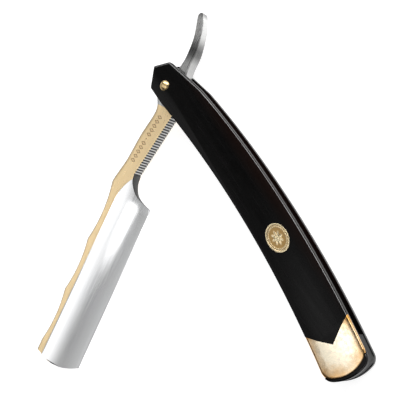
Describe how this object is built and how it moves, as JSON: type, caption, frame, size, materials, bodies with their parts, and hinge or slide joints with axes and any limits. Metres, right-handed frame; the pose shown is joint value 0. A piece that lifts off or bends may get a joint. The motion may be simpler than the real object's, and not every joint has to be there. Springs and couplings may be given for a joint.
{
  "type": "straight razor",
  "caption": "Open folding straight razor with a hollow-ground scalloped blade, black curved scales and a brass swallowtail bolster.",
  "frame": {"origin": "on the pivot axis, at the back scale's outer flat face", "axes": "+X along the handle from the pivot to its rounded end, +Y towards the handle's convex edge, +Z out of the front scale"},
  "size_m": [0.1495, 0.1384, 0.0107],
  "materials": {
    "blade_steel": "mirror-polished steel, with a pale gold wash on the spine and the front of the shank",
    "black_scale": "ebonised, satin polish",
    "black_wedge": "ebonised, satin",
    "pin_brass": "polished",
    "washer_brass": "plain rolled",
    "bolster_brass": "mirror-polished",
    "emblem_gilt": "stamped gilt, satin field and polished rim"
  },
  "bodies": {
    "handle": {"front_scale": "black_scale", "back_scale": "black_scale", "wedge": "black_wedge", "pivot_pin": "pin_brass", "front_collar": "pin_brass", "back_collar": "pin_brass", "front_bearing_washer": "washer_brass", "back_bearing_washer": "washer_brass", "front_bolster": "bolster_brass", "wedge_pins": "pin_brass", "emblem": "emblem_gilt", "emblem_pins": "pin_brass"},
    "blade": {"blade": "blade_steel"}
  },
  "joints": [
    {"name": "blade_pivot", "type": "hinge", "parent": "handle", "child": "blade", "pos_m": [0, 0, 0.00475], "axis": [0, 0, 1], "range_deg": [-210, 59]}
  ]
}
